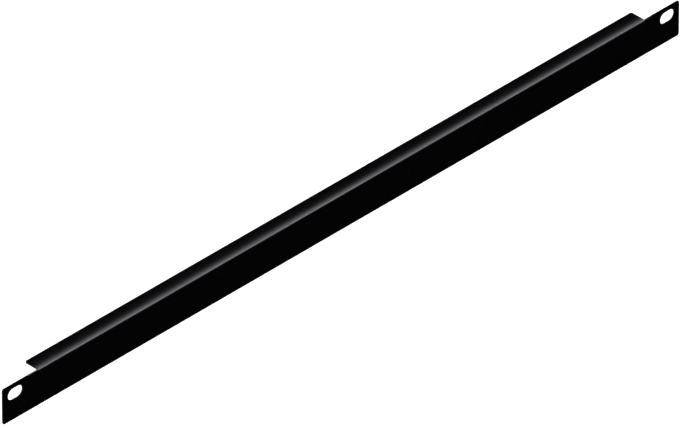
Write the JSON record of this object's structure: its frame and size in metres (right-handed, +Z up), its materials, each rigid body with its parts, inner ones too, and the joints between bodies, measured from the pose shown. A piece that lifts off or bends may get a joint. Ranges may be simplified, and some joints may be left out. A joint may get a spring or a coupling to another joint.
{
  "type": "rack blanking panel",
  "caption": "Long narrow L-section steel blanking panel for half a rack unit, with a folded-back stiffening flange and a mounting slot in each flat ear.",
  "frame": {"origin": "midway between the two mounting slots, on the rear face that seats on the rack's rails", "axes": "+X along the panel, -Y out of the rack through the front face, +Y into the rack as the flange runs, +Z up"},
  "size_m": [0.4826, 0.01, 0.0215],
  "materials": {
    "powder_coat": "black satin powder coat on steel sheet"
  },
  "bodies": {
    "root": {"panel": "powder_coat"}
  },
  "joints": []
}
